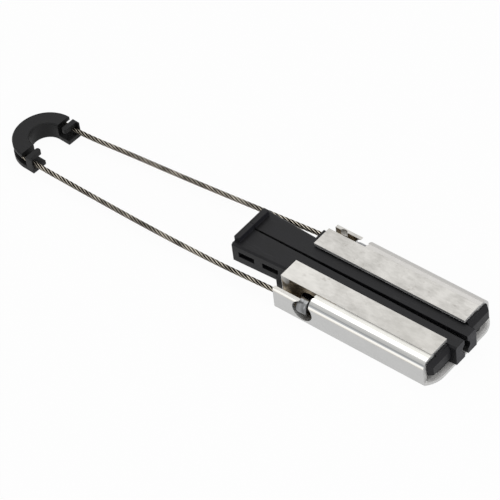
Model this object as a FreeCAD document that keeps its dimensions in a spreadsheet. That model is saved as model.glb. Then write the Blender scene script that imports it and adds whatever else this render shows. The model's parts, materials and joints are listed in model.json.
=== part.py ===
"""Dead-end anchor clamp: an extruded channel, two tapered liners, two gripping wedges and a rope bail.

Frame: millimetres, +Z up, +X from the cable end of the channel towards the bail, +Y to the left side.
The origin is on the underside of the channel, on its centre line, at the cable end of its walls.
"""
import FreeCAD, Part
import math
import os
import Sketcher

doc = FreeCAD.newDocument("dead_end_anchor_clamp")

# Driving dimensions, in millimetres unless the note says otherwise

SIZES = [
    ("body_length", 120.0, "channel walls and lips, end to end"),
    ("body_half_width", 34.3, "centre line to the outer face of a side wall"),
    ("body_height", 20.7, "underside to the top of the lips"),
    ("floor", 2.0, "floor thickness"),
    ("tongue", 5.8, "floor left standing past the walls at the cable end"),
    ("tongue_radius", 18.0, "plan radius of the tongue's corners"),
    ("channel_half_width", 25.0, "centre line to the outer face of a web"),
    ("web", 2.5, "thickness of the upright web beside each liner"),
    ("lip", 2.4, "lip thickness"),
    ("lip_half_gap", 9.15, "centre line to the free edge of a lip"),
    ("roof_step", 0.7, "how far the tunnel roof lies below the lips"),
    ("side_wall", 3.0, "outer wall of a rope tunnel"),
    ("roof", 2.8, "roof of a rope tunnel"),
    ("corner_radius", 6.0, "outside radius between roof and side wall"),
    ("stop_hole_radius", 7.9, "hole in the side wall that takes a rope stop"),
    ("stop_hole_setback", 23.4, "front end of the channel to the hole's axis"),
    ("stop_height", 9.0, "underside to the axis of the stop holes"),
    ("slot_setback", 30.0, "front end to the far end of the rope slot in the roof"),
    ("relief_front", 21.0, "front end to the near side of the relief across the corner"),
    ("relief_back", 29.0, "front end to the far side of that relief"),
    ("wall_top", 16.6, "underside to the milled top of the side walls in front of the relief"),
    ("stake_front", 4.4, "front end to the near side of the punch mark in the right side wall"),
    ("stake_back", 9.9, "front end to the far side of that mark"),
    ("stake_depth", 1.7, "punch mark into the wall's top"),
    ("stake_bulge", 0.6, "metal pushed out of the wall over the rope"),
    ("stake_floor", 13.3, "underside to the floor of the punch mark"),
    ("stake_foot", 11.0, "underside to the lower side of the pushed metal"),
    ("seat_gap", 0.1, "gap between a liner and the channel around it"),
    ("flange", 4.5, "liner flange that bears on the front end of the channel"),
    ("flange_top", 16.6, "underside to the top of that flange"),
    ("liner_tail", 1.5, "liner standing out past the channel at the cable end"),
    ("hook", 4.0, "thickness of the liner's hook, outward from the channel end"),
    ("hook_bottom", 7.5, "underside to the lower side of the hook"),
    ("hook_top", 17.1, "underside to the top of the hook"),
    ("hook_reach", 6.1, "hook past the outer face of the web"),
    ("hook_bevel", 2.8, "lead-in bevels of the hook"),
    ("hook_side_bevel", 2.1, "the same, measured across the clamp at the hook's side"),
    ("wedge_front", 166.5, "cable end of the channel to the wedge's front face"),
    ("wedge_tail", 7.7, "wedge standing out past the channel at the cable end"),
    ("wedge_half_front", 18.9, "centre line to the wedge's outer face at its front"),
    ("taper", 0.0482, "sideways rise of the wedge face per millimetre of length"),
    ("wedge_play", 0.06, "running gap between a wedge and its liner"),
    ("wedge_under", 0.15, "running gap between a wedge and the floor"),
    ("wedge_height", 15.2, "height of a wedge"),
    ("wedge_chamfer", 1.2, "chamfer along the wedge's outer top edge"),
    ("slot_half_front", 0.65, "half of the gap between the wedges behind their front wall"),
    ("slot_half_tail", 1.7, "half of the gap between the wedges at the cable end"),
    ("front_wall", 4.2, "thickness of the wedges' front wall"),
    ("front_wall_rise", 4.0, "front wall above the wedge's top face"),
    ("front_wall_half", 15.4, "centre line to the end of the raised front wall"),
    ("front_joint", 0.15, "half of the joint between the two front walls"),
    ("cable_radius", 4.0, "cable groove between the wedges"),
    ("tooth_depth", 0.5, "grip rings cut into the cable groove"),
    ("tooth_width", 2.0, "mouth of a grip ring"),
    ("tooth_pitch", 10.0, "grip ring to grip ring"),
    ("tooth_first", 24.0, "cable end of the channel to the first grip ring"),
    ("window_length", 12.7, "coring window in a wedge's side"),
    ("window_height", 4.4, "height of a window"),
    ("window_depth", 3.5, "depth of a window"),
    ("window_pitch", 19.2, "window to window"),
    ("window_setback", 5.0, "wedge front to the first window"),
    ("rope", 3.5, "rope diameter"),
    ("rope_fit", 0.45, "gap between the rope and a clip's bar"),
    ("stop_lead", 1.8, "axis of a stop hole to the stop's centre, towards the front"),
    ("stop_gap", 0.3, "stop to the inner face of the web that its hole opens"),
    ("rope_height", 8.3, "underside to the axis of the rope stops"),
    ("stop_radius", 5.7, "largest radius of the swaged rope stop"),
    ("stop_end_radius", 3.8, "radius of the stop's flat ends"),
    ("stop_half_length", 4.2, "half of the stop's length"),
    ("stop_shoulder_radius", 5.1, "radius of the stop's shoulders"),
    ("stop_shoulder", 2.8, "stop's middle to a shoulder"),
    ("stop_belt", 1.2, "half length of the stop's widest part"),
    ("shank_radius", 2.4, "collar of the stop round the rope"),
    ("shank_reach", 6.3, "stop centre to the collar's end"),
    ("saddle_x", 340.2, "cable end of the channel to the saddle's centre"),
    ("saddle_y", 8.1, "centre line to the saddle's centre, as the bail lies"),
    ("saddle_turn", -3.0, "turn of the saddle about the upright axis, degrees"),
    ("saddle_inner", 11.4, "radius of the saddle's seat"),
    ("saddle_outer", 23.1, "radius of the saddle's flanges"),
    ("saddle_height", 13.0, "height of the saddle"),
    ("saddle_flange", 3.4, "thickness of a saddle flange"),
    ("saddle_arm", 9.5, "saddle centre to the end of an arm"),
    ("saddle_gap", 3.4, "cut between the upper flange and a rope clip"),
    ("clip_top", 12.1, "underside to the top of a rope clip"),
    ("clip_bar", 4.0, "width of the clip's bar over the rope"),
    ("clip_wall", 1.15, "outer wall of a clip"),
    ("clip_tip_radius", 1.6, "rounded inner end of the bar"),
    ("saddle_round", 0.8, "bevelled rims of the saddle"),
    ("rope_sink", 1.25, "rope's outer side to the rims of the saddle's groove"),
    ("groove_gap", 0.05, "gap between the rope and the floor of the saddle's groove"),
]

sheet = doc.addObject("Spreadsheet::Sheet", "Sizes")
for row, (alias, value, note) in enumerate(SIZES, start=1):
    sheet.set("A%d" % row, alias)
    sheet.set("B%d" % row, str(value))
    sheet.setAlias("B%d" % row, alias)
    sheet.set("C%d" % row, note)
doc.recompute()

OVER = 1.0          # how far a cutting sketch starts outside the metal
ROOF_LAND = 0.1     # flat that stays on a narrow tunnel roof beside its rounded corner
TOOTH_COUNT = 12
WINDOW_COUNT = 8


def bound(formula):
    """Formula of sheet aliases written with @ as an expression on the sheet."""
    return formula.replace("@", "Sizes.")


def value_of(formula):
    """Number that such a formula gives."""
    result = sheet.evalExpression(bound(formula))
    return float(getattr(result, "Value", result))


def set_size(item, prop, formula):
    """Bind a property of a document object to the sheet."""
    item.setExpression(prop, bound(formula))


def origin_feature(body, role):
    """Origin plane or axis of a body."""
    return next(f for f in body.Origin.OriginFeatures if f.Role == role)


def new_body(label):
    """Empty body that becomes one sub-part."""
    body = doc.addObject("PartDesign::Body", label)
    body.Label = label
    return body


def new_sketch(body, name, role, offset="0 mm"):
    """Sketch on an origin plane of its body, moved along the plane's normal."""
    sketch = body.newObject("Sketcher::SketchObject", name)
    sketch.AttachmentSupport = (origin_feature(body, role), [""])
    sketch.MapMode = "FlatFace"
    set_size(sketch, "AttachmentOffset.Base.z", offset)
    return sketch


def fix_point(sketch, geometry, end, across, up):
    """Hold one end of a line or arc at a place given by two formulas."""
    for kind, formula in (("DistanceX", across), ("DistanceY", up)):
        index = sketch.addConstraint(Sketcher.Constraint(kind, -1, 1, geometry, end, value_of(formula)))
        set_size(sketch, "Constraints[%d]" % index, "(%s) * 1 mm" % formula)


def outline(sketch, corners):
    """Closed outline; a corner is (across, up) or (across, up, radius) where an arc leaves it.

    A positive radius bulges to the right of the way the outline runs.
    """
    count = len(corners)
    places = [FreeCAD.Vector(value_of(c[0]), value_of(c[1]), 0) for c in corners]
    for i, corner in enumerate(corners):
        start, end = places[i], places[(i + 1) % count]
        if len(corner) == 2:
            geometry = sketch.addGeometry(Part.LineSegment(start, end))
            first, last = 1, 2
        else:
            radius = value_of(corner[2])
            chord = end - start
            left = FreeCAD.Vector(-chord.y, chord.x, 0).normalize() * math.copysign(1, radius)
            centre = (start + end) * 0.5 + left * math.sqrt(radius ** 2 - (chord.Length / 2) ** 2)
            low, high = (start, end) if radius > 0 else (end, start)
            angles = [math.atan2(p.y - centre.y, p.x - centre.x) for p in (low, high)]
            if angles[1] < angles[0]:
                angles[1] += 2 * math.pi
            circle = Part.Circle(centre, FreeCAD.Vector(0, 0, 1), abs(radius))
            geometry = sketch.addGeometry(Part.ArcOfCircle(circle, *angles))
            first, last = (1, 2) if radius > 0 else (2, 1)
            index = sketch.addConstraint(Sketcher.Constraint("Radius", geometry, abs(radius)))
            set_size(sketch, "Constraints[%d]" % index, "abs(%s) * 1 mm" % corner[2])
        fix_point(sketch, geometry, first, corner[0], corner[1])
        if i:
            sketch.addConstraint(Sketcher.Constraint("Coincident", geometry, first, *previous))
        else:
            opening = (geometry, first)
        previous = (geometry, last)
    sketch.addConstraint(Sketcher.Constraint("Coincident", *previous, *opening))


def rectangle(sketch, low, high):
    """Closed rectangle between two corners."""
    outline(sketch, [low, (high[0], low[1]), high, (low[0], high[1])])


def round_hole(sketch, across, up, radius):
    """Full circle in a sketch."""
    centre = FreeCAD.Vector(value_of(across), value_of(up), 0)
    circle = sketch.addGeometry(Part.Circle(centre, FreeCAD.Vector(0, 0, 1), value_of(radius)))
    fix_point(sketch, circle, 3, across, up)
    index = sketch.addConstraint(Sketcher.Constraint("Radius", circle, value_of(radius)))
    set_size(sketch, "Constraints[%d]" % index, "(%s) * 1 mm" % radius)


def pad(body, sketch, name, length):
    """Solid raised from a sketch along its normal."""
    feature = body.newObject("PartDesign::Pad", name)
    feature.Profile = sketch
    set_size(feature, "Length", "(%s) * 1 mm" % length)
    doc.recompute()
    return feature


def pocket(body, sketch, name, length=None, against=True):
    """Cut of a given length, against the sketch's normal or along it, or right through both ways."""
    before = body.Shape.Volume
    feature = body.newObject("PartDesign::Pocket", name)
    feature.Profile = sketch
    if length is None:
        feature.Type = "ThroughAll"
        feature.Midplane = True
    else:
        set_size(feature, "Length", "(%s) * 1 mm" % length)
        feature.Reversed = not against
    doc.recompute()
    if not feature.Shape.Volume < before:
        raise RuntimeError(name + " cuts nothing")
    return feature


def edges_where(body, test):
    """Names of the body's edges whose middle and end points all pass a test."""
    found = []
    for number, edge in enumerate(body.Tip.Shape.Edges, start=1):
        middle = edge.valueAt((edge.FirstParameter + edge.LastParameter) / 2)
        if all(test(p) for p in [v.Point for v in edge.Vertexes] + [middle]):
            found.append("Edge%d" % number)
    if not found:
        raise RuntimeError("no edge found on " + body.Label)
    return found


def dress(body, kind, name, size, test):
    """Fillet or chamfer on the edges that pass a test."""
    base, names = body.Tip, edges_where(body, test)
    feature = body.newObject("PartDesign::" + kind, name)
    feature.Base = (base, names)
    set_size(feature, "Radius" if kind == "Fillet" else "Size", size)
    doc.recompute()
    return feature


def near(a, b):
    """True for two lengths that are the same."""
    return abs(a - b) < 1e-4


def mirrored(body, name, features, role):
    """Copies of features on the other side of an origin plane."""
    feature = body.newObject("PartDesign::Mirrored", name)
    feature.Originals = features
    feature.MirrorPlane = (origin_feature(body, role), [""])
    body.Tip = feature
    doc.recompute()
    return feature


# Channel: one extrusion, milled at both ends

ROOF_TOP = "(@body_height - @roof_step)"
ROOF_UNDER = "(@body_height - @roof_step - @roof)"
LIP_UNDER = "(@body_height - @lip)"
WEB_INNER = "(@channel_half_width - @web)"
TUNNEL_OUTER = "(@body_half_width - @side_wall)"
CORNER = "min(@corner_radius; @body_half_width - @channel_half_width - %g)" % ROOF_LAND
HOLE_X = "(@body_length - @stop_hole_setback)"
STOP_X = "(%s + @stop_lead)" % HOLE_X
STOP_Y = "(%s + @stop_gap + @stop_radius)" % WEB_INNER


def punched(depth):
    """Radius of the arc that a punch mark of a given depth leaves in plan."""
    return "((((@stake_back - @stake_front) / 2) ^ 2 + %s ^ 2) / (2 * %s))" % (depth, depth)


def channel():
    """Floor, two webs with lips, and a rope tunnel along each side."""
    body = new_body("clamp_body")
    profile = new_sketch(body, "channel_profile", "YZ_Plane")
    half = [
        ("@body_half_width", "0"),
        ("@body_half_width", ROOF_TOP),
        ("@channel_half_width", ROOF_TOP),
        ("@channel_half_width", "@body_height"),
        ("@lip_half_gap", "@body_height"),
        ("@lip_half_gap", LIP_UNDER),
        (WEB_INNER, LIP_UNDER),
        (WEB_INNER, "@floor"),
    ]
    outline(profile, half + [("-" + across, up) for across, up in reversed(half)])
    for sign in ("", "-"):
        rectangle(profile, (sign + "@channel_half_width", "@floor"), (sign + TUNNEL_OUTER, ROOF_UNDER))
    pad(body, profile, "extrusion", "@body_length")

    width, roof_top = value_of("@body_half_width"), value_of(ROOF_TOP)
    inner, roof_under = value_of(TUNNEL_OUTER), value_of(ROOF_UNDER)
    dress(body, "Fillet", "outer_corners", CORNER,
          lambda p: near(abs(p.y), width) and near(p.z, roof_top))
    dress(body, "Fillet", "inner_corners", CORNER + " - @side_wall",
          lambda p: near(abs(p.y), inner) and near(p.z, roof_under))

    tongue = new_sketch(body, "tongue_plan", "XY_Plane")
    start = "(@body_half_width - sqrt(@tongue_radius ^ 2 - (@tongue_radius - @tongue) ^ 2))"
    outline(tongue, [
        ("0", "@body_half_width", "@tongue_radius"),
        ("-@tongue", start),
        ("-@tongue", "-" + start, "@tongue_radius"),
        ("0", "-@body_half_width"),
    ])
    pad(body, tongue, "tongue", "@floor")

    top = "@body_height + %g" % OVER
    above = "(@body_height + %g) * 1 mm" % OVER
    hole = new_sketch(body, "stop_hole_side", "XZ_Plane", "-(@body_half_width + %g) * 1 mm" % OVER)
    round_hole(hole, HOLE_X, "@stop_height", "@stop_hole_radius")
    stop_hole = pocket(body, hole, "stop_hole", "@body_half_width + %g - %s" % (OVER, WEB_INNER), against=False)

    slot = new_sketch(body, "rope_slot_plan", "XY_Plane", above)
    round_end = "(%s - @channel_half_width) / 2" % TUNNEL_OUTER
    straight = "@body_length - @slot_setback + " + round_end
    outline(slot, [
        ("@body_length + %g" % OVER, "@channel_half_width"),
        ("@body_length + %g" % OVER, TUNNEL_OUTER),
        (straight, TUNNEL_OUTER),
        ("@body_length - @slot_setback", "(%s + @channel_half_width) / 2" % TUNNEL_OUTER),
        (straight, "@channel_half_width"),
    ])
    rope_slot = pocket(body, slot, "rope_slot", "%s - @stop_height" % top)

    relief = new_sketch(body, "relief_plan", "XY_Plane", above)
    rectangle(relief, ("@body_length - @relief_back", "@channel_half_width"),
              ("@body_length - @relief_front", "@body_half_width + %g" % OVER))
    corner_relief = pocket(body, relief, "corner_relief", "%s - @stop_height" % top)

    low_wall = new_sketch(body, "wall_top_plan", "XY_Plane", above)
    rectangle(low_wall, ("@body_length - @relief_front", "@channel_half_width"),
              ("@body_length + %g" % OVER, "@body_half_width + %g" % OVER))
    wall_top = pocket(body, low_wall, "milled_wall_top", "%s - @wall_top" % top)

    mirrored(body, "right_side_cuts", [stop_hole, rope_slot, corner_relief, wall_top], "XZ_Plane")

    mark = [
        ("@body_length - @stake_front", "-" + TUNNEL_OUTER, punched("@stake_bulge")),
        ("@body_length - @stake_back", "-" + TUNNEL_OUTER, punched("@stake_depth")),
    ]
    punch = new_sketch(body, "punch_plan", "XY_Plane", above)
    outline(punch, mark)
    pocket(body, punch, "punch_mark", "%s - @stake_floor" % top)
    pushed = new_sketch(body, "pushed_metal_plan", "XY_Plane", "@stake_foot * 1 mm")
    outline(pushed, mark)
    pad(body, pushed, "pushed_metal", "@stake_floor - @stake_foot")
    return body


# Liners and wedges: the taper between them is what grips the cable

def wedge_face(x):
    """Centre line to the wedge's outer face at a place along the clamp."""
    return "(@wedge_half_front - (@wedge_front - (%s)) * @taper)" % x


def liner_face(x):
    """Centre line to the liner's inner face at a place along the clamp."""
    return "(%s + @wedge_play)" % wedge_face(x)


def liner(label, sign):
    """Tapered liner with a flange over the front end and a hook over the cable end of its web."""
    body = new_body(label)

    def plan(name, corners, bottom, top):
        sketch = new_sketch(body, name + "_plan", "XY_Plane", "(%s) * 1 mm" % bottom)
        outline(sketch, [(x, sign + y) for x, y in corners])
        return pad(body, sketch, name, "%s - (%s)" % (top, bottom))

    outer = "(%s - @seat_gap)" % WEB_INNER
    front = "(@body_length + @seat_gap)"
    flange_end = "(@body_length + @seat_gap + @flange)"
    plan("taper_block", [
        ("-@liner_tail", liner_face("-@liner_tail")),
        (front, liner_face(front)),
        (front, outer),
        ("-@liner_tail", outer),
    ], "@floor + @seat_gap", "@body_height - @lip - @seat_gap")
    plan("front_flange", [
        (front, liner_face(front)),
        (flange_end, liner_face(flange_end)),
        (flange_end, "@channel_half_width"),
        (front, "@channel_half_width"),
    ], "@floor + @seat_gap", "@flange_top")
    reach = "(@channel_half_width + @hook_reach)"
    plan("tail_hook", [
        ("-@hook", liner_face("-@hook")),
        ("-@seat_gap", liner_face("-@seat_gap")),
        ("-@seat_gap", reach),
        ("-@hook + @hook_bevel", reach),
        ("-@hook", "(%s - @hook_side_bevel)" % reach),
    ], "@hook_bottom", "@hook_top")
    tip, top = value_of("-@hook"), value_of("@hook_top")
    dress(body, "Chamfer", "hook_lead_in", "@hook_bevel",
          lambda p: near(p.x, tip) and near(p.z, top))
    return body


def wedge(label, sign):
    """Half of the wedge pair, with a raised front wall, a toothed cable groove and coring windows."""
    body = new_body(label)
    bottom = "(@floor + @wedge_under)"
    top = "(@floor + @wedge_under + @wedge_height)"
    middle = "(@floor + @wedge_under + @wedge_height / 2)"
    wall_x = "(@wedge_front - @front_wall)"

    plan = new_sketch(body, "wedge_plan", "XY_Plane", "%s * 1 mm" % bottom)
    outline(plan, [(x, sign + y) for x, y in (
        ("-@wedge_tail", "@slot_half_tail"),
        (wall_x, "@slot_half_front"),
        (wall_x, "@front_joint"),
        ("@wedge_front", "@front_joint"),
        ("@wedge_front", "@wedge_half_front"),
        ("-@wedge_tail", wedge_face("-@wedge_tail")),
    )])
    pad(body, plan, "wedge_block", "@wedge_height")
    slope, front_half = value_of("@taper"), value_of("@wedge_half_front")
    front_x, top_z = value_of("@wedge_front"), value_of(top)
    dress(body, "Chamfer", "outer_edge", "@wedge_chamfer",
          lambda p: near(p.z, top_z) and near(abs(p.y), front_half - (front_x - p.x) * slope))

    wall = new_sketch(body, "front_wall_plan", "XY_Plane", "%s * 1 mm" % bottom)
    rectangle(wall, (wall_x, sign + "@front_joint"), ("@wedge_front", sign + "@front_wall_half"))
    pad(body, wall, "front_wall", "@wedge_height + @front_wall_rise")

    groove = new_sketch(body, "cable_groove_end", "YZ_Plane")
    round_hole(groove, "0", middle, "@cable_radius")
    pocket(body, groove, "cable_groove")

    ring = new_sketch(body, "grip_ring_section", "XY_Plane", "%s * 1 mm" % middle)
    outline(ring, [(x, sign + y) for x, y in (
        ("@tooth_first - @tooth_width / 2", "(@cable_radius - @tooth_depth)"),
        ("@tooth_first + @tooth_width / 2", "(@cable_radius - @tooth_depth)"),
        ("@tooth_first + @tooth_width / 2", "@cable_radius"),
        ("@tooth_first", "(@cable_radius + @tooth_depth)"),
        ("@tooth_first - @tooth_width / 2", "@cable_radius"),
    )])
    turned = body.newObject("PartDesign::Groove", "grip_ring")
    turned.Profile = ring
    turned.ReferenceAxis = (ring, ["H_Axis"])
    turned.Angle = 360
    doc.recompute()
    rings = body.newObject("PartDesign::LinearPattern", "grip_rings")
    rings.Originals = [turned]
    rings.Direction = (origin_feature(body, "X_Axis"), [""])
    rings.Occurrences = TOOTH_COUNT
    set_size(rings, "Length", "@tooth_pitch * %d mm" % (TOOTH_COUNT - 1))
    body.Tip = rings
    doc.recompute()

    side = -1 if sign else 1
    windows = new_sketch(body, "window_side", "XZ_Plane")
    windows.setExpression("AttachmentOffset.Base.z", None)
    windows.AttachmentOffset = FreeCAD.Placement(FreeCAD.Vector(), FreeCAD.Rotation(FreeCAD.Vector(0, 1, 0), side))
    set_size(windows, "AttachmentOffset.Rotation.Angle", "%d * atan(@taper)" % side)
    set_size(windows, "AttachmentOffset.Base.x", "@wedge_front * 1 mm")
    set_size(windows, "AttachmentOffset.Base.z", "%d * (@wedge_half_front + %g) * 1 mm" % (-side, OVER))
    rectangle(windows, ("-@window_setback - @window_length", "%s - @window_height / 2" % middle),
              ("-@window_setback", "%s + @window_height / 2" % middle))
    window = pocket(body, windows, "window", "@window_depth + %g" % OVER, against=side < 0)
    row = body.newObject("PartDesign::LinearPattern", "window_row")
    row.Originals = [window]
    row.Direction = (windows, ["H_Axis"])
    row.Reversed = True
    row.Occurrences = WINDOW_COUNT
    set_size(row, "Length", "@window_pitch * %d mm" % (WINDOW_COUNT - 1))
    body.Tip = row
    doc.recompute()
    return body


# Bail: rope with a swaged stop on each end, and the saddle that it runs round

def rope_stop(label, sign):
    """Round stop with a collar that the rope leaves by."""
    body = new_body(label)
    section = new_sketch(body, "stop_section", "XZ_Plane")
    outline(section, [
        ("-@stop_half_length", "0"),
        ("-@stop_half_length", "@stop_end_radius"),
        ("-@stop_shoulder", "@stop_shoulder_radius"),
        ("-@stop_belt", "@stop_radius"),
        ("@stop_belt", "@stop_radius"),
        ("@stop_shoulder", "@stop_shoulder_radius"),
        ("@stop_half_length", "@stop_end_radius"),
        ("@stop_half_length", "@shank_radius"),
        ("@shank_reach", "@shank_radius"),
        ("@shank_reach", "0"),
    ])
    turned = body.newObject("PartDesign::Revolution", "swaged_stop")
    turned.Profile = section
    turned.ReferenceAxis = (section, ["H_Axis"])
    turned.Angle = 360
    doc.recompute()
    set_size(body, "Placement.Base.x", STOP_X + " * 1 mm")
    set_size(body, "Placement.Base.y", "%s%s * 1 mm" % (sign, STOP_Y))
    set_size(body, "Placement.Base.z", "@rope_height * 1 mm")
    return body


def rope_line():
    """Radius of the rope's centre line round the saddle."""
    return "(@saddle_outer - @rope / 2 - @rope_sink)"


def saddle():
    """Grooved half ring with a rope clip on each arm, open to the inside."""
    body = new_body("bail_saddle")
    section = new_sketch(body, "saddle_section", "XZ_Plane")
    groove = "(%s - @rope / 2 - @groove_gap)" % rope_line()
    outline(section, [
        ("@saddle_inner", "0"),
        ("@saddle_outer", "0"),
        ("@saddle_outer", "@saddle_flange"),
        (groove, "@saddle_flange"),
        (groove, "@saddle_height - @saddle_flange"),
        ("@saddle_outer", "@saddle_height - @saddle_flange"),
        ("@saddle_outer", "@saddle_height"),
        ("@saddle_inner", "@saddle_height"),
    ])
    bow = body.newObject("PartDesign::Revolution", "bow")
    bow.Profile = section
    bow.ReferenceAxis = (section, ["V_Axis"])
    bow.Angle = 180
    bow.Midplane = True
    doc.recompute()
    height, outer, inner = value_of("@saddle_height"), value_of("@saddle_outer"), value_of("@saddle_inner")
    dress(body, "Chamfer", "bevelled_rims", "@saddle_round * 1 mm",
          lambda p: near(p.z, height) and (near(math.hypot(p.x, p.y), outer) or near(math.hypot(p.x, p.y), inner)))

    arm = new_sketch(body, "arm_plan", "XY_Plane")
    rectangle(arm, ("-@saddle_arm", "@saddle_inner"), ("0", "@saddle_outer"))
    arm_pad = pad(body, arm, "arm", "@saddle_flange")
    wall = new_sketch(body, "clip_wall_plan", "XY_Plane")
    rectangle(wall, ("-@saddle_arm", "@saddle_outer - @clip_wall"), ("-@saddle_gap", "@saddle_outer"))
    wall_pad = pad(body, wall, "clip_wall", "@clip_top")
    bar_bottom = "(@saddle_height / 2 + @rope / 2 + @rope_fit)"
    bar = new_sketch(body, "clip_bar_plan", "XY_Plane", bar_bottom + " * 1 mm")
    tip = "@saddle_inner + @clip_tip_radius"
    outline(bar, [
        ("-@saddle_gap", "@saddle_outer"),
        ("-@saddle_gap - @clip_bar", "@saddle_outer"),
        ("-@saddle_gap - @clip_bar", tip, "@clip_tip_radius"),
        ("-@saddle_gap - @clip_bar + @clip_tip_radius", "@saddle_inner"),
        ("-@saddle_gap - @clip_tip_radius", "@saddle_inner", "@clip_tip_radius"),
        ("-@saddle_gap", tip),
    ])
    bar_pad = pad(body, bar, "clip_bar", "@clip_top - " + bar_bottom)
    mirrored(body, "other_arm", [arm_pad, wall_pad, bar_pad], "XZ_Plane")

    body.Placement = FreeCAD.Placement(FreeCAD.Vector(), FreeCAD.Rotation(FreeCAD.Vector(0, 0, -1), 1))
    set_size(body, "Placement.Base.x", "@saddle_x * 1 mm")
    set_size(body, "Placement.Base.y", "@saddle_y * 1 mm")
    set_size(body, "Placement.Rotation.Angle", "-@saddle_turn * 1 deg")
    return body


# Free stretches of the bail, from a stop to the saddle, as the rope lies
LEFT_LEG = [(126.0, 29.1, 8.1), (162.0, 30.85, 7.7), (203.0, 31.45, 7.3), (243.0, 31.0, 6.9), (284.0, 29.9, 6.5)]
RIGHT_LEG = [(126.0, -27.2, 8.1), (162.0, -24.1, 7.7), (203.0, -20.6, 7.3), (243.0, -17.4, 6.9), (284.0, -14.7, 6.5)]
ARM_RUN = 16.0      # last point of a free stretch, behind the saddle's centre
ROUTE_TURN = 45.0   # turn of the route at each of its corners round the saddle, degrees
BEND_SHARE = 0.45   # share of the shorter run that a bend takes up


def rope_points():
    """Route of the rope from the left stop round the saddle to the right stop."""
    start = [value_of(STOP_X + " + @shank_reach"), value_of(STOP_Y), value_of("@rope_height")]
    radius = value_of(rope_line())
    turn = math.radians(value_of("@saddle_turn"))
    corner = radius * math.tan(math.radians(ROUTE_TURN / 2))
    local = [(-ARM_RUN, radius), (corner, radius), (radius, corner),
             (radius, -corner), (corner, -radius), (-ARM_RUN, -radius)]
    ring = []
    for u, v in local:
        ring.append((value_of("@saddle_x") + u * math.cos(turn) - v * math.sin(turn),
                     value_of("@saddle_y") + u * math.sin(turn) + v * math.cos(turn),
                     value_of("@saddle_height / 2")))
    end = (start[0], -start[1], start[2])
    points = [tuple(start)] + LEFT_LEG + ring + RIGHT_LEG[::-1] + [end]
    return [FreeCAD.Vector(*p) for p in points]


def smooth_path(points):
    """Wire of straight runs joined by tangent arcs, and its length."""
    edges, last = [], points[0]
    for before, point, after in zip(points, points[1:], points[2:]):
        back, on = before - point, after - point
        turn = math.pi - back.getAngle(on)
        reach = BEND_SHARE * min(back.Length, on.Length)
        radius = reach / math.tan(turn / 2)
        back.normalize()
        on.normalize()
        enter, leave = point + back * reach, point + on * reach
        axis = (back + on).normalize()
        middle = point + axis * (radius / math.cos(turn / 2) - radius)
        edges.append(Part.LineSegment(last, enter).toShape())
        edges.append(Part.Arc(enter, middle, leave).toShape())
        last = leave
        print("rope bend at %.0f, %.0f: radius %.1f" % (point.x, point.y, radius))
    edges.append(Part.LineSegment(last, points[-1]).toShape())
    return Part.Wire(edges)


def rope():
    """Plain tube along the rope's route."""
    points = rope_points()
    path = smooth_path(points)
    radius = value_of("@rope / 2")
    ring = Part.Wire(Part.Circle(points[0], points[1] - points[0], radius).toShape())
    tube = path.makePipeShell([ring], True, False)
    expected = math.pi * radius ** 2 * path.Length
    print("rope length %.1f mm, volume %.1f of %.1f" % (path.Length, tube.Volume, expected))
    feature = doc.addObject("Part::Feature", "bail_rope")
    feature.Shape = tube
    feature.Label = "bail_rope"
    return feature


parts = [
    channel(),
    liner("liner_left", ""),
    liner("liner_right", "-"),
    wedge("wedge_left", ""),
    wedge("wedge_right", "-"),
    rope_stop("stop_left", ""),
    rope_stop("stop_right", "-"),
    saddle(),
]
doc.recompute()
parts.append(rope())
doc.recompute()

for item in doc.Objects:
    if "Invalid" in item.State or "Error" in item.State:
        raise RuntimeError("%s failed: %s, %s" % (item.Name, item.State, item.getStatusString()))
for item in parts:
    if item.Shape.isNull() or not item.Shape.isValid():
        raise RuntimeError(item.Label + " has no valid shape")

os.makedirs("parts", exist_ok=True)
for item in parts:
    item.Shape.exportStep("parts/%s.step" % item.Label)
    box = item.Shape.BoundBox
    print("%s: %d solid, %.0f mm3, x %.1f to %.1f, y %.1f to %.1f, z %.1f to %.1f" % (
        item.Label, len(item.Shape.Solids), item.Shape.Volume,
        box.XMin, box.XMax, box.YMin, box.YMax, box.ZMin, box.ZMax))
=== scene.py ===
import json
import math

import bpy
import numpy as np
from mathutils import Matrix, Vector

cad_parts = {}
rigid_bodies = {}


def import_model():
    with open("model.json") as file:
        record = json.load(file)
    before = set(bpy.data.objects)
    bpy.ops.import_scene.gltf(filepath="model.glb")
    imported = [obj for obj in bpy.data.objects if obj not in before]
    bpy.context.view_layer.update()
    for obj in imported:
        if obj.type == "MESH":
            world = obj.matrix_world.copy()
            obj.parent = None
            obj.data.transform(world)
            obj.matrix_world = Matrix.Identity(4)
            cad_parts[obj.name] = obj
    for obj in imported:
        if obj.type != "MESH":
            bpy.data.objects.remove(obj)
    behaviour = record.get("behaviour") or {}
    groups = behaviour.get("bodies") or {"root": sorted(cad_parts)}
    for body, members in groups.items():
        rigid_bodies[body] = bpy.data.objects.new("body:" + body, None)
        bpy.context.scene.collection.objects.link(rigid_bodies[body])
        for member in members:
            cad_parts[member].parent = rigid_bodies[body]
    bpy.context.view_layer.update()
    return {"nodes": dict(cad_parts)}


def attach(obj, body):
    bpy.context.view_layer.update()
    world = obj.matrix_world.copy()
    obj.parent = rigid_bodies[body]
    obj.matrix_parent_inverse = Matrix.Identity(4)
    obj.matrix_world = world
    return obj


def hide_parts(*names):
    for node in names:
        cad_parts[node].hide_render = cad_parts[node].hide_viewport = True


# Dead-end anchor clamp on a pale floor. Metres, +X from the cable end to the bail, +Y left, +Z up.
# A value whose name ends in Mm is in millimetres.

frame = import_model()
nodes = frame["nodes"]
for item in bpy.data.objects:
    item.select_set(False)
print("stage: frame loaded")


# Small helpers

wideSpread = (0.3, 0.7)    # nearly all of a noise texture's values lie between these,
middleSpread = (0.35, 0.65)    # and most of them between these


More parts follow.
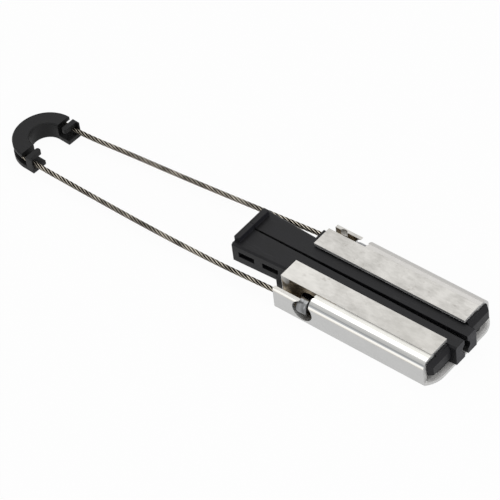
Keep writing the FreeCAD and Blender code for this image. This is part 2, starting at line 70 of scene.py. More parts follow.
def linear(hexCode):
    # An sRGB colour as the linear one that a socket takes
    parts = [int(hexCode[i:i + 2], 16) / 255 for i in (1, 3, 5)]
    return [c / 12.92 if c <= 0.04045 else ((c + 0.055) / 1.055) ** 2.4 for c in parts] + [1.0]


def inMetres(millimetres):
    return [value / 1000 for value in millimetres]


def perMetre(millimetres):
    return 1000 / millimetres    # noise scale that gives features of this size


def addNode(tree, kind, inputs=None, **settings):
    # An input that is given as a node takes that node's first output in use
    node = tree.nodes.new(kind)
    for name, value in settings.items():
        setattr(node, name, value)
    for name, value in (inputs or {}).items():
        if isinstance(value, bpy.types.Node):
            value = next(output for output in value.outputs if output.enabled)
        if isinstance(value, bpy.types.NodeSocket):
            tree.links.new(value, node.inputs[name])
        else:
            node.inputs[name].default_value = value
    return node


def setRamp(node, places, colours):
    elements = node.color_ramp.elements
    while len(elements) < len(places):
        elements.new(0.5)
    for element, place, colour in zip(elements, places, colours):
        element.position = place
        element.color = linear(colour)
    return node


def newMaterial(name):
    material = bpy.data.materials.new(name)
    material.use_nodes = True
    material.node_tree.nodes.clear()
    return material, material.node_tree


def dress(nodeName, material):
    for slot in nodes[nodeName].material_slots:
        slot.material = material


# Channel: extruded aluminium, mill finish

channelLook = {
    "matt": "#bfbdb9", "mattDark": "#aeaca8", "stain": "#807b74", "side": "#c7c7c6",
    # painted colours: shade with the rope's brown reflection in the tunnels, light and shade along the left
    # lips, a lit left roof, a shaded right roof and a lit tongue floor
    "inside": "#c2b59d", "insideStain": "#786e60", "lipFrontLit": "#dcdad5", "lipTailShaded": "#b4b2ad",
    "leftRoofLit": "#d2d1cc", "rightRoofShaded": "#bcbab7", "tailFloorLit": "#f6f5f3",
    # painted highlight and reflection bands round a corner, set by how much it faces up, from a side at 0 to
    # a top at 1
    "cornerReflectionPlaces": (0.06, 0.13, 0.22, 0.4, 0.49, 0.58, 0.67, 0.82, 0.89, 0.94),
    "cornerReflectionColours": ("#c4c2bf", "#d2cec7", "#fffcf4", "#fffefa", "#b0b2b4",
                      "#8b8d8e", "#b4b4b2", "#bebebc", "#d0cfcc", "#fbfaf6"),
    "cornerWander": 0.045,    # how far the painted reflection bands stray along a corner, after the wide die lines
    "mottleMm": 2.4, "mottleStretch": 0.4, "mottlePlaces": (0.34, 0.6),
    "cloudMm": 14.0, "cloudShare": 0.45,
    "stainMm": 4.5, "stainPlaces": (0.62, 0.72), "stainStrength": 0.5, "insidePlaces": (0.4, 0.58),
    # lines of the die and the saw, drawn a few times coarser than the real ones, so that they show
    "dieLineMm": 0.35, "wideLineMm": 0.9, "lineStretch": 0.006, "sawMarkMm": 0.5, "sawStretch": 0.03,
    "markStrength": 0.2, "markHeightMm": 0.08, "edgeMm": 0.25,
    "flatRoughness": (0.42, 0.58), "cornerRoughness": 0.3, "insideRoughness": 0.4,
    # painted light on the left lips towards the front and painted shade towards the tail: how strong, and
    # from where to where along the channel
    "lipFrontStrength": 0.42, "lipFrontFadeMm": (70.0, 120.0),
    "lipTailStrength": 0.6, "lipTailFadeMm": (90.0, 20.0),
    "tailFloorWhiteShare": 0.75,    # the tongue's floor is made this much less metallic, so that its near-white colour shows as painted light
    "patchMm": (116.3, 25.0, 19.2), "patchSizeMm": (3.2, 1.0, 4.5),    # lit patch on the left web, where the painted tunnel shade is lifted
    "patchEdge": (0.85, 1.1), "patchStrength": 0.85,
    # how far a normal has to turn for a flat that faces up or endwards, and for a rounded corner
    "squareFacing": (0.9, 0.98), "cornerSlope": (0.02, 0.09),
    # where the surfaces lie: from, to, and half the width of the soft edge
    "zonesMm": {
        "tunnelAside": (24.85, 31.35, 0.05), "tunnelHeight": (1.5, 17.25, 0.1),
        "webAside": (24.85, 25.1, 0.05), "webHeight": (1.5, 20.4, 0.1),
        "ropeRun": (75.0, 119.5, 0.2), "wallTop": (12.0, 30.0, 0.1), "roof": (19.0, 30.0, 0.1),
        "tongueRun": (-10.0, 14.0, 2.0), "tongueHeight": (1.0, 3.0, 0.1),
        "left": (0.0, 50.0, 0.1), "leftRoofLit": (25.8, 50.0, 0.7), "rightWall": (-50.0, -25.1, 0.1),
    },
}


def maskBetween(tree, value, zoneMm):
    # 1 where the value lies between two limits, fading over a short way at both
    low, high, soft = inMetres(zoneMm)
    rise = addNode(tree, "ShaderNodeMapRange", {
        "Value": value, "From Min": low - soft, "From Max": low + soft})
    fall = addNode(tree, "ShaderNodeMapRange", {
        "Value": value, "From Min": high - soft, "From Max": high + soft, "To Min": 1.0, "To Max": 0.0})
    return addNode(tree, "ShaderNodeMath", {0: rise, 1: fall}, operation="MULTIPLY")


def channelMasks(tree, place, facing, look):
    # The channel's surfaces, told apart by where they lie and which way they face, 1 on each
    zones = look["zonesMm"]
    spot = addNode(tree, "ShaderNodeSeparateXYZ", {"Vector": place})
    along, height = spot.outputs["X"], spot.outputs["Z"]
    aside = addNode(tree, "ShaderNodeMath", {0: spot.outputs["Y"]}, operation="ABSOLUTE")
    endward = addNode(tree, "ShaderNodeMath", {0: facing.outputs["X"]}, operation="ABSOLUTE")
    slope = addNode(tree, "ShaderNodeMath", {
        0: facing.outputs["Y"], 1: facing.outputs["Z"]}, operation="MULTIPLY")
    slope = addNode(tree, "ShaderNodeMath", {0: slope}, operation="ABSOLUTE")

    masks = {}
    for name, value, limits in (("corner", slope, look["cornerSlope"]),
                                ("upward", facing.outputs["Z"], look["squareFacing"]),
                                ("cutEnd", endward, look["squareFacing"])):
        masks[name] = addNode(tree, "ShaderNodeMapRange", {
            "Value": value, "From Min": limits[0], "From Max": limits[1]})
    for name, value in (("tunnelAside", aside), ("tunnelHeight", height), ("webAside", aside),
                        ("webHeight", height), ("ropeRun", along), ("wallTop", height), ("roof", height),
                        ("tongueRun", along), ("tongueHeight", height), ("left", spot.outputs["Y"]),
                        ("leftRoofLit", spot.outputs["Y"]), ("rightWall", spot.outputs["Y"])):
        masks[name] = maskBetween(tree, value, zones[name])
    for name, limits, strength in (("lipFrontLit", look["lipFrontFadeMm"], look["lipFrontStrength"]),
                                   ("lipTailShaded", look["lipTailFadeMm"], look["lipTailStrength"])):
        start, full = inMetres(limits)
        masks[name] = addNode(tree, "ShaderNodeMapRange", {
            "Value": along, "From Min": start, "From Max": full, "To Max": strength})

    # each of these is one mask within another, and some take the place of the first
    for name, first, second in (("tunnelInside", "tunnelAside", "tunnelHeight"),
                                ("web", "webAside", "webHeight"),
                                ("wallTop", "upward", "wallTop"), ("roof", "upward", "roof"),
                                ("leftRoofLit", "roof", "leftRoofLit"), ("rightRoofShaded", "roof", "rightWall"),
                                ("tailFloorLit", "upward", "tongueRun"),
                                ("tailFloorLit", "tailFloorLit", "tongueHeight"),
                                ("lipFrontLit", "lipFrontLit", "left"), ("lipTailShaded", "lipTailShaded", "left")):
        masks[name] = addNode(tree, "ShaderNodeMath", {
            0: masks[first], 1: masks[second]}, operation="MULTIPLY")

    # painted shade with the rope's brown reflection: the rope's tunnel with the web beside it, without the
    # tops of the walls and the lit patch
    tunnel = addNode(tree, "ShaderNodeMath", {
        0: masks["tunnelInside"], 1: masks["web"]}, operation="MAXIMUM")
    tunnel = addNode(tree, "ShaderNodeMath", {0: tunnel, 1: masks["ropeRun"]}, operation="MULTIPLY")
    tunnel = addNode(tree, "ShaderNodeMath", {0: tunnel, 1: masks["wallTop"]}, operation="SUBTRACT")
    patch = addNode(tree, "ShaderNodeVectorMath", {
        0: place, 1: inMetres(look["patchMm"])}, operation="SUBTRACT")
    patch = addNode(tree, "ShaderNodeVectorMath", {
        0: patch, 1: [perMetre(size) for size in look["patchSizeMm"]]}, operation="MULTIPLY")
    patch = addNode(tree, "ShaderNodeVectorMath", {0: patch}, operation="LENGTH")
    patch = addNode(tree, "ShaderNodeMapRange", {
        "Value": patch, "From Min": look["patchEdge"][0], "From Max": look["patchEdge"][1],
        "To Min": look["patchStrength"], "To Max": 0.0})
    masks["tunnel"] = addNode(tree, "ShaderNodeMath", {
        0: tunnel, 1: patch}, operation="SUBTRACT", use_clamp=True)
    return masks


def channelMarks(tree, place, look):
    # Noise for the marks on the metal, each drawn out along or across the channel as its tool left it
    marks = {}
    for name, sizeMm, stretch, detail, roughness in (
            ("dieLines", look["dieLineMm"], (look["lineStretch"], 1.0, 1.0), 3.0, 0.5),
            ("wideLines", look["wideLineMm"], (look["lineStretch"], 1.0, 1.0), 2.0, 0.5),
            ("sawMarks", look["sawMarkMm"], (1.0, 1.0, look["sawStretch"]), 2.0, 0.5),
            ("mottle", look["mottleMm"], (look["mottleStretch"], 1.0, 1.0), 5.0, 0.6),
            ("cloud", look["cloudMm"], (1.0, 1.0, 1.0), 2.0, 0.5),
            ("stains", look["stainMm"], (1.0, 1.0, 1.0), 5.0, 0.62)):
        drawnOut = addNode(tree, "ShaderNodeMapping", {"Vector": place, "Scale": stretch})
        marks[name] = addNode(tree, "ShaderNodeTexNoise", {
            "Vector": drawnOut, "Scale": perMetre(sizeMm), "Detail": detail, "Roughness": roughness})
    marks["mottle"] = addNode(tree, "ShaderNodeMix", {
        "Factor": look["cloudShare"], 2: marks["mottle"], 3: marks["cloud"]})
    return marks


def millAluminium(look):
    # 6063 as it leaves the press: fine die lines along its length, a dull mottled oxide on the upper flats,
    # plainer sides and saw marks across the cut ends; painted highlight and reflection bands round the
    # corners, painted light and shade on the lips and roofs, a lit tongue floor, and painted shade with the
    # rope's brown reflection in the rope tunnels
    material, tree = newMaterial("millAluminium")
    coords = addNode(tree, "ShaderNodeTexCoord")
    place = coords.outputs["Object"]
    facing = addNode(tree, "ShaderNodeSeparateXYZ", {"Vector": coords.outputs["Normal"]})
    masks = channelMasks(tree, place, facing, look)
    marks = channelMarks(tree, place, look)

    flat = setRamp(addNode(tree, "ShaderNodeValToRGB", {"Fac": marks["mottle"]}),
                   look["mottlePlaces"], (look["mattDark"], look["matt"]))
    masks["stain"] = addNode(tree, "ShaderNodeMapRange", {
        "Value": marks["stains"], "From Min": look["stainPlaces"][0], "From Max": look["stainPlaces"][1],
        "To Min": 0.0, "To Max": look["stainStrength"]})
    # real stains, then painted light on the left lips towards the front and painted shade towards the tail
    for name in ("stain", "lipFrontLit", "lipTailShaded"):
        flat = addNode(tree, "ShaderNodeMix", {
            "Factor": masks[name], 6: flat, 7: linear(look[name])}, data_type="RGBA")
    flat = addNode(tree, "ShaderNodeMix", {
        "Factor": masks["upward"], 6: linear(look["side"]), 7: flat}, data_type="RGBA")
    # painted light on the left roof and on the tongue's floor, painted shade on the right roof
    for name in ("leftRoofLit", "rightRoofShaded", "tailFloorLit"):
        flat = addNode(tree, "ShaderNodeMix", {
            "Factor": masks[name], 6: flat, 7: linear(look[name])}, data_type="RGBA")

    # painted highlight and reflection bands round the corners, by which way each faces, made streaky by the
    # wide die lines; the right side takes the shaded right roof colour in their place
    wander = addNode(tree, "ShaderNodeMapRange", {
        "Value": marks["wideLines"], "From Min": wideSpread[0], "From Max": wideSpread[1],
        "To Min": -look["cornerWander"], "To Max": look["cornerWander"]})
    wander = addNode(tree, "ShaderNodeMath", {0: facing.outputs["Z"], 1: wander}, operation="ADD")
    paintedReflection = setRamp(addNode(tree, "ShaderNodeValToRGB", {"Fac": wander}),
                     look["cornerReflectionPlaces"], look["cornerReflectionColours"])
    paintedReflection = addNode(tree, "ShaderNodeMix", {
        "Factor": masks["rightWall"], 6: paintedReflection, 7: linear(look["rightRoofShaded"])}, data_type="RGBA")
    # painted shade with the rope's brown reflection in the rope's tunnel, mottled by the stain noise
    tunnelShade = setRamp(addNode(tree, "ShaderNodeValToRGB", {"Fac": marks["stains"]}),
                      look["insidePlaces"], (look["insideStain"], look["inside"]))
    colour = addNode(tree, "ShaderNodeMix", {
        "Factor": masks["corner"], 6: flat, 7: paintedReflection}, data_type="RGBA")
    colour = addNode(tree, "ShaderNodeMix", {
        "Factor": masks["tunnel"], 6: colour, 7: tunnelShade}, data_type="RGBA")

    smooth, dull = look["flatRoughness"]
    rough = addNode(tree, "ShaderNodeMapRange", {
        "Value": marks["mottle"], "From Min": middleSpread[0], "From Max": middleSpread[1],
        "To Min": dull, "To Max": smooth})
    rough = addNode(tree, "ShaderNodeMix", {
        "Factor": masks["corner"], 2: rough, 3: look["cornerRoughness"]})
    rough = addNode(tree, "ShaderNodeMix", {
        "Factor": masks["tunnel"], 2: rough, 3: look["insideRoughness"]})

    relief = addNode(tree, "ShaderNodeMix", {
        "Factor": masks["cutEnd"], 2: marks["dieLines"], 3: marks["sawMarks"]})
    edge = addNode(tree, "ShaderNodeBevel", {"Radius": look["edgeMm"] / 1000}, samples=4)
    bump = addNode(tree, "ShaderNodeBump", {
        "Height": relief, "Strength": look["markStrength"], "Distance": look["markHeightMm"] / 1000,
        "Normal": edge})
    # the tongue's floor is less metallic here, so that its near-white painted light shows
    metal = addNode(tree, "ShaderNodeMath", {
        0: masks["tailFloorLit"], 1: -look["tailFloorWhiteShare"], 2: 1.0}, operation="MULTIPLY_ADD")
    surface = addNode(tree, "ShaderNodeBsdfPrincipled", {
        "Base Color": colour, "Metallic": metal, "Roughness": rough, "Normal": bump})
    addNode(tree, "ShaderNodeOutputMaterial", {"Surface": surface})
    return material


dress("clamp_body", millAluminium(channelLook))
print("stage: channel")


# Mouldings: liners, wedges and saddle

mouldingLooks = {
    # ends is painted light on the faces towards the cable end; sideShade is how much painted shade darkens
    # the upright faces
    "linerNylon": {"base": "#0f0f11", "worn": "#17171a", "ends": "#1a1a1d", "sideShade": 0.0, "gloss": 0.2,
                   "roughness": (0.4, 0.52), "edgeMm": 0.4},
    "wedgeNylon": {"base": "#101012", "worn": "#18181b", "ends": "#26262b", "sideShade": 0.0, "gloss": 0.2,
                   "roughness": (0.38, 0.5), "edgeMm": 0.5},
    "saddleNylon": {"base": "#131314", "worn": "#1b1b1c", "ends": "#161617", "sideShade": 0.6, "gloss": 0.18,
                    "roughness": (0.42, 0.55), "edgeMm": 0.6},
}
nylonMarksAndShade = {
    "scuffed": "#343437", "scuffMm": 1.4, "scuffStretch": 0.12, "scuffPlaces": (0.6, 0.72),
    "scuffStrength": 0.25, "cloudMm": 9.0, "cloudPlaces": (0.38, 0.66),
    "grainMm": 0.45, "grainStrength": 0.18, "grainHeightMm": 0.12,
    # shade is the colour of that painted shade; tailFacing picks the faces that get the painted light
    "shade": "#030303", "uprightFacing": (0.3, 0.6), "tailFacing": (-0.9, -0.6), "ior": 1.53,
}


def mouldedNylon(name, look, marks):
    # Glass-filled nylon 6, injection moulded: black, satin, with a fine spark-eroded grain.
    # The grain is drawn about three times coarser than the real one, so that it shows.
    material, tree = newMaterial(name)
    coords = addNode(tree, "ShaderNodeTexCoord")
    place = coords.outputs["Object"]
    facing = addNode(tree, "ShaderNodeSeparateXYZ", {"Vector": coords.outputs["Normal"]})
    grain = addNode(tree, "ShaderNodeTexNoise", {
        "Vector": place, "Scale": perMetre(marks["grainMm"]), "Detail": 2.0})
    cloud = addNode(tree, "ShaderNodeTexNoise", {
        "Vector": place, "Scale": perMetre(marks["cloudMm"]), "Detail": 4.0, "Roughness": 0.6})
    drag = addNode(tree, "ShaderNodeMapping", {"Vector": place, "Scale": (marks["scuffStretch"], 1.0, 1.0)})
    scuff = addNode(tree, "ShaderNodeTexNoise", {
        "Vector": drag, "Scale": perMetre(marks["scuffMm"]), "Detail": 5.0})

    rubbed = addNode(tree, "ShaderNodeMapRange", {
        "Value": scuff, "From Min": marks["scuffPlaces"][0], "From Max": marks["scuffPlaces"][1],
        "To Min": 0.0, "To Max": marks["scuffStrength"]})
    # painted light on the faces towards the cable end, and painted shade on the upright ones
    tail = addNode(tree, "ShaderNodeMapRange", {
        "Value": facing.outputs["X"], "From Min": marks["tailFacing"][0], "From Max": marks["tailFacing"][1],
        "To Min": 1.0, "To Max": 0.0})
    upright = addNode(tree, "ShaderNodeMath", {0: facing.outputs["Z"]}, operation="ABSOLUTE")
    upright = addNode(tree, "ShaderNodeMapRange", {
        "Value": upright, "From Min": marks["uprightFacing"][0], "From Max": marks["uprightFacing"][1],
        "To Min": look["sideShade"], "To Max": 0.0})
    colour = setRamp(addNode(tree, "ShaderNodeValToRGB", {"Fac": cloud}),
                     marks["cloudPlaces"], (look["base"], look["worn"]))
    for amount, over in ((rubbed, marks["scuffed"]), (tail, look["ends"]), (upright, marks["shade"])):
        colour = addNode(tree, "ShaderNodeMix", {
            "Factor": amount, 6: colour, 7: linear(over)}, data_type="RGBA")

    roughness = addNode(tree, "ShaderNodeMapRange", {
        "Value": cloud, "From Min": middleSpread[0], "From Max": middleSpread[1],
        "To Min": look["roughness"][0], "To Max": look["roughness"][1]})
    edge = addNode(tree, "ShaderNodeBevel", {"Radius": look["edgeMm"] / 1000}, samples=4)
    bump = addNode(tree, "ShaderNodeBump", {
        "Height": grain, "Strength": marks["grainStrength"], "Distance": marks["grainHeightMm"] / 1000,
        "Normal": edge})
    surface = addNode(tree, "ShaderNodeBsdfPrincipled", {
        "Base Color": colour, "Roughness": roughness, "IOR": marks["ior"],
        "Specular IOR Level": look["gloss"], "Normal": bump})
    addNode(tree, "ShaderNodeOutputMaterial", {"Surface": surface})
    return material


nylon = {name: mouldedNylon(name, look, nylonMarksAndShade) for name, look in mouldingLooks.items()}
for side in ("left", "right"):
    dress("liner_" + side, nylon["linerNylon"])
    dress("wedge_" + side, nylon["wedgeNylon"])
dress("bail_saddle", nylon["saddleNylon"])
print("stage: mouldings")


# Stops on the rope's ends: a barrel with well-rounded ends, and a short collar where the rope comes out

stopLook = {
    "bright": "#9c9d9e", "dull": "#727374", "toolMarkMm": 2.4, "markStretch": 0.15, "roughness": (0.2, 0.28),
    "dullestUntil": 0.35, "brightFrom": 0.6, "markStrength": 0.15, "markHeightMm": 0.1, "edgeMm": 0.6,
    "middle": (0.0984, 0.0285, 0.0083),    # the left one's; the right one mirrors it
    "barrel": {"radius": 0.0057, "length": 0.0084, "rounding": 0.0019, "segments": 8},
    "collar": {"radius": 0.0024, "length": 0.0022, "rounding": 0.0002, "segments": 2},
    "collarAhead": 0.0052, "sidesRound": 64, "smoothUpTo": 40,
}


def swagedSteel(look):
    # Stainless steel pressed on in a swaging tool: bright, with tool marks and dull pressed bands
    material, tree = newMaterial("swagedSteel")
    place = addNode(tree, "ShaderNodeTexCoord").outputs["Object"]
    acrossX = addNode(tree, "ShaderNodeMapping", {
        "Vector": place, "Scale": (1.0, look["markStretch"], look["markStretch"])})
    marks = addNode(tree, "ShaderNodeTexNoise", {
        "Vector": acrossX, "Scale": perMetre(look["toolMarkMm"]), "Detail": 3.0})
    colour = setRamp(addNode(tree, "ShaderNodeValToRGB", {"Fac": marks}),
                     wideSpread, (look["dull"], look["bright"]))
    roughness = addNode(tree, "ShaderNodeMapRange", {
        "Value": marks, "From Min": look["dullestUntil"], "From Max": look["brightFrom"],
        "To Min": look["roughness"][1], "To Max": look["roughness"][0]})
    edge = addNode(tree, "ShaderNodeBevel", {"Radius": look["edgeMm"] / 1000}, samples=4)
    bump = addNode(tree, "ShaderNodeBump", {
        "Height": marks, "Strength": look["markStrength"], "Distance": look["markHeightMm"] / 1000,
        "Normal": edge})
    surface = addNode(tree, "ShaderNodeBsdfPrincipled", {
        "Base Color": colour, "Metallic": 1.0, "Roughness": roughness, "Normal": bump})
    addNode(tree, "ShaderNodeOutputMaterial", {"Surface": surface})
    return material


def turnedPiece(name, size, sides, middle):
    # Round bar along X with rounded ends
    bpy.ops.mesh.primitive_cylinder_add(vertices=sides, radius=size["radius"], depth=size["length"],
                                        location=(0, 0, 0))
    piece = bpy.context.active_object
    piece.name = name
    bpy.ops.object.mode_set(mode="EDIT")
    bpy.ops.mesh.select_all(action="SELECT")
    bpy.ops.transform.rotate(value=math.pi / 2, orient_axis="Y", center_override=(0, 0, 0))
    bpy.ops.transform.translate(value=middle)
    bpy.ops.object.mode_set(mode="OBJECT")
    rounded = piece.modifiers.new("rounding", "BEVEL")
    rounded.width = size["rounding"]
    rounded.segments = size["segments"]
    rounded.limit_method = "ANGLE"
    bpy.ops.object.modifier_apply(modifier=rounded.name)
    return piece


def swagedStop(name, look, middle):
    x, y, z = middle
    barrel = turnedPiece(name, look["barrel"], look["sidesRound"], middle)
    collar = turnedPiece(name + "Collar", look["collar"], look["sidesRound"], (x + look["collarAhead"], y, z))
    barrel.select_set(True)
    collar.select_set(True)
    bpy.context.view_layer.objects.active = barrel
    bpy.ops.object.join()
    bpy.ops.object.shade_smooth_by_angle(angle=math.radians(look["smoothUpTo"]))
    barrel.select_set(False)
    return barrel


swaged = swagedSteel(stopLook)
stopX, stopY, stopZ = stopLook["middle"]
for side, across in (("left", stopY), ("right", -stopY)):
    stop = swagedStop("swagedStop" + side.capitalize(), stopLook, (stopX, across, stopZ))
    stop.data.materials.append(swaged)
    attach(stop, "bail")
    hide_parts("stop_" + side)
print("stage: stops")


# Rope: six strands laid right-handed, six outer wires in each laid the other way

ropeLook = {
    # colours by height: near black in the grooves, painted shade with some dirt, and pale beige on the
    # crests, partly painted highlight
    "crest": "#cfc7b8", "flank": "#3c352c", "groove": "#060505", "heights": (0.92, 0.96, 0.995),
    "dirtMm": 7.0, "dirtHeight": 0.02, "bareHeights": (0.9, 0.96), "gloss": 0.1,
    "roughness": (0.34, 0.65), "roughHeights": (0.5, 0.95),
    "diameter": 0.0035, "strands": 6, "strandLay": 0.0257, "wires": 6, "wireLay": 0.0086,
    "wireGroove": 0.84, "strandSwell": 1.02,    # depth of the grooves, and strands pressed into each other
    "rings": 1320, "pathEvery": 4,
}
routeMm = [
    (104.7, 28.5, 8.3), (126.0, 29.1, 8.1), (162.0, 30.85, 7.7), (203.0, 31.45, 7.3), (243.0, 31.0, 6.9),
    (284.0, 29.9, 6.5), (325.27, 29.01, 6.5), (349.57, 27.74, 6.5), (360.71, 15.36, 6.5),
    (359.84, -1.27, 6.5), (347.46, -12.41, 6.5), (323.17, -11.14, 6.5), (284.0, -14.7, 6.5),
    (243.0, -17.4, 6.9), (203.0, -20.6, 7.3), (162.0, -24.1, 7.7), (126.0, -27.2, 8.1), (104.7, -28.5, 8.3),
]


def lineOfRope(points, count):
    # Evenly spaced points along the route's smooth curve, and how far along it each one lies
    curve = bpy.data.curves.new("ropeRoute", "CURVE")
    curve.dimensions = "3D"
    spline = curve.splines.new("NURBS")
    spline.points.add(len(points) - 1)
    for point, corner in zip(spline.points, points):
        point.co = inMetres(corner) + [1]
    spline.order_u = 3
    spline.use_endpoint_u = True
    spline.resolution_u = 40
    holder = bpy.data.objects.new("ropeRoute", curve)
    bpy.context.collection.objects.link(holder)
    read = bpy.data.meshes.new_from_object(holder)
    line = np.array([v.co for v in read.vertices])
    bpy.data.objects.remove(holder)
    bpy.data.meshes.remove(read)
    travel = np.r_[0, np.cumsum(np.linalg.norm(np.diff(line, axis=0), axis=1))]
    even = np.linspace(0, travel[-1], count)
    return np.stack([np.interp(even, travel, line[:, i]) for i in range(3)], axis=1), even


def unit(vectors):
    return vectors / np.linalg.norm(vectors, axis=-1, keepdims=True)


def laidRope(look, line, travel):
    # Strands wound round the line, each with its outer wires as ridges, and the height of every point
    radius = look["diameter"] / 2
    strandRadius = radius / 3 * look["strandSwell"]
    offset = radius - strandRadius
    ahead = unit(np.gradient(line, axis=0))
    side = np.zeros_like(line)
    side[0] = unit(np.cross(ahead[0], (0, 0, 1)))
    for i in range(1, len(line)):    # carried along without twisting
        side[i] = unit(side[i - 1] - ahead[i] * np.dot(side[i - 1], ahead[i]))
    up = np.cross(ahead, side)

    points, faces, crest = [], [], []
    around = look["wires"] * 2    # a ridge and a groove for each wire
    for strand in range(look["strands"]):
        turn = 2 * math.pi * (travel / look["strandLay"] + strand / look["strands"])
        outward = side * np.cos(turn)[:, None] + up * np.sin(turn)[:, None]
        centre = line + outward * offset
        run = unit(np.gradient(centre, axis=0))
        outward = unit(outward - run * np.sum(outward * run, axis=1, keepdims=True))
        across = np.cross(run, outward)
        spin = -2 * math.pi * travel * (1 / look["wireLay"] + 1 / look["strandLay"])
        first = len(points) * around
        for i in range(len(line)):
            ring = []
            for j in range(around):
                angle = spin[i] + 2 * math.pi * j / around
                direction = outward[i] * math.cos(angle) + across[i] * math.sin(angle)
                ring.append(centre[i] + direction * strandRadius * (1.0 if j % 2 else look["wireGroove"]))
                crest.append(np.linalg.norm(centre[i] + direction * strandRadius - line[i]) / radius)
            points.append(ring)
        for i in range(len(line) - 1):
            low = first + i * around
            for j in range(around):
                nextOne = (j + 1) % around
                faces.append((low + j, low + nextOne, low + around + nextOne, low + around + j))
        last = first + (len(line) - 1) * around
        faces.append(tuple(first + j for j in reversed(range(around))))
        faces.append(tuple(last + j for j in range(around)))

    mesh = bpy.data.meshes.new("bailRope")
    mesh.from_pydata(np.array(points).reshape(-1, 3).tolist(), [], faces)
    height = mesh.attributes.new("crest", "FLOAT", "POINT")
    height.data.foreach_set("value", np.array(crest, dtype=np.float32))
    mesh.shade_smooth()
    rope = bpy.data.objects.new("bailRope", mesh)
    bpy.context.collection.objects.link(rope)
    return rope


def strandedStainless(look):
    # Drawn stainless wire, dull from handling. Pale beige on the wire crests, partly painted highlight, and
    # near black down between the strands, painted shade with some dirt; a dirt noise shifts the heights, and
    # only the crests are metallic
    material, tree = newMaterial("strandedStainless")
    height = addNode(tree, "ShaderNodeAttribute", attribute_name="crest").outputs["Fac"]
    place = addNode(tree, "ShaderNodeTexCoord").outputs["Object"]
    dirt = addNode(tree, "ShaderNodeTexNoise", {
        "Vector": place, "Scale": perMetre(look["dirtMm"]), "Detail": 4.0})
    dirt = addNode(tree, "ShaderNodeMapRange", {
        "Value": dirt, "From Min": wideSpread[0], "From Max": wideSpread[1],
        "To Min": look["dirtHeight"], "To Max": -look["dirtHeight"]})
    height = addNode(tree, "ShaderNodeMath", {0: height, 1: dirt}, operation="ADD")
    colour = setRamp(addNode(tree, "ShaderNodeValToRGB", {"Fac": height}),
                     look["heights"], (look["groove"], look["flank"], look["crest"]))
    roughness = addNode(tree, "ShaderNodeMapRange", {
        "Value": height, "From Min": look["roughHeights"][0], "From Max": look["roughHeights"][1],
        "To Min": look["roughness"][1], "To Max": look["roughness"][0]})
    bare = addNode(tree, "ShaderNodeMapRange", {
        "Value": height, "From Min": look["bareHeights"][0], "From Max": look["bareHeights"][1]})
    surface = addNode(tree, "ShaderNodeBsdfPrincipled", {
        "Base Color": colour, "Metallic": bare, "Roughness": roughness, "Specular IOR Level": look["gloss"]})
    addNode(tree, "ShaderNodeOutputMaterial", {"Surface": surface})
    return material


ropeLine, ropeTravel = lineOfRope(routeMm, ropeLook["rings"])
bailRope = laidRope(ropeLook, ropeLine, ropeTravel)
bailRope.data.materials.append(strandedStainless(ropeLook))
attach(bailRope, "bail")
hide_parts("bail_rope")
print("stage: rope, %.0f mm" % (ropeTravel[-1] * 1000))


# Studio: white floor and surround, one large soft lamp above and two fills

studio = {
    "paper": "#f4f4f4", "floorHalf": 3.0, "floorMiddle": (0.17, 0.0, -0.0003),    # a hair under the channel
    "floorGlow": 0.95, "surround": 0.45, "lampTarget": (0.16, 0.0, 0.0),
    "lamps": {    # place, size and watts
        "keyLamp": ((0.25, -0.3, 1.6), 1.6, 9.0),
        "sideFill": ((-0.2, 1.6, 0.7), 1.0, 4.0),
        "tailFill": ((-1.5, 0.1, 0.6), 0.9, 3.5),
    },
}


def seenDirectly(tree):
    # 1 for rays from the camera, and for those that meet the surface in a reflection or through glass
    rays = addNode(tree, "ShaderNodeLightPath")
    either = addNode(tree, "ShaderNodeMath", {
        0: rays.outputs["Is Camera Ray"], 1: rays.outputs["Is Glossy Ray"]}, operation="MAXIMUM")
    return addNode(tree, "ShaderNodeMath", {
        0: either, 1: rays.outputs["Is Transmission Ray"]}, operation="MAXIMUM")


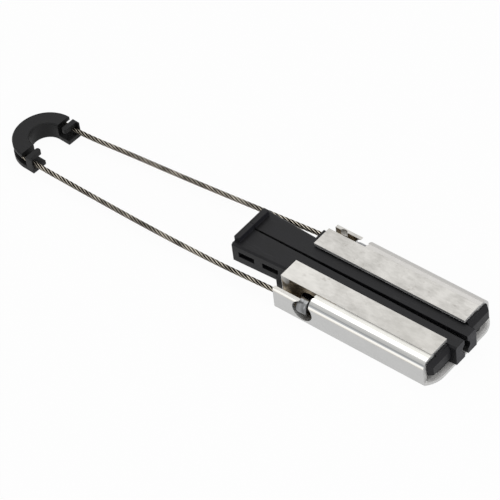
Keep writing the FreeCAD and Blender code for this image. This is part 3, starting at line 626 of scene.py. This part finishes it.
def floorPaper(look):
    # Matt white paper: it keeps a faint shadow and shows white to the camera and in the metal
    material, tree = newMaterial("floorPaper")
    matt = addNode(tree, "ShaderNodeBsdfDiffuse", {"Color": linear(look["paper"])})
    glow = addNode(tree, "ShaderNodeEmission", {"Color": (1, 1, 1, 1), "Strength": 1.0})
    amount = addNode(tree, "ShaderNodeMath", {
        0: seenDirectly(tree), 1: look["floorGlow"]}, operation="MULTIPLY")
    both = addNode(tree, "ShaderNodeMixShader", {0: amount, 1: matt, 2: glow})
    addNode(tree, "ShaderNodeOutputMaterial", {"Surface": both})
    return material


def whiteSurround(look):
    world = bpy.data.worlds.new("whiteSurround")
    world.use_nodes = True
    tree = world.node_tree
    tree.nodes.clear()
    strength = addNode(tree, "ShaderNodeMapRange", {
        "Value": seenDirectly(tree), "To Min": look["surround"], "To Max": 1.0})
    sky = addNode(tree, "ShaderNodeBackground", {"Color": (1, 1, 1, 1), "Strength": strength})
    addNode(tree, "ShaderNodeOutputWorld", {"Surface": sky})
    return world


def softLamp(name, place, target, size, power):
    bpy.ops.object.light_add(type="AREA", location=place)
    lamp = bpy.context.active_object
    lamp.name = name
    lamp.data.shape = "SQUARE"
    lamp.data.size = size
    lamp.data.energy = power
    lamp.rotation_euler = (Vector(target) - Vector(place)).to_track_quat("-Z", "Y").to_euler()


bpy.ops.mesh.primitive_plane_add(size=studio["floorHalf"] * 2, location=studio["floorMiddle"])
floor = bpy.context.active_object
floor.name = "floor"
floor.data.materials.append(floorPaper(studio))
bpy.context.scene.world = whiteSurround(studio)
for lampName, (place, size, power) in studio["lamps"].items():
    softLamp(lampName, place, studio["lampTarget"], size, power)

# Camera: long lens from above the left of the cable end, rolled a little as in the photograph

cameraLook = {
    "place": (-0.77566, 0.95278, 1.377), "degrees": (43.855, 5.372, -140.807),
    "lensMm": 211.3, "sensorMm": 36.0, "clip": (0.1, 20.0),
}
bpy.ops.object.camera_add(location=cameraLook["place"],
                          rotation=[math.radians(a) for a in cameraLook["degrees"]])
camera = bpy.context.active_object
camera.data.lens = cameraLook["lensMm"]
camera.data.sensor_width = cameraLook["sensorMm"]
camera.data.clip_start, camera.data.clip_end = cameraLook["clip"]
bpy.context.scene.camera = camera
bpy.context.scene.view_settings.view_transform = "Standard"
print("stage: studio and camera")
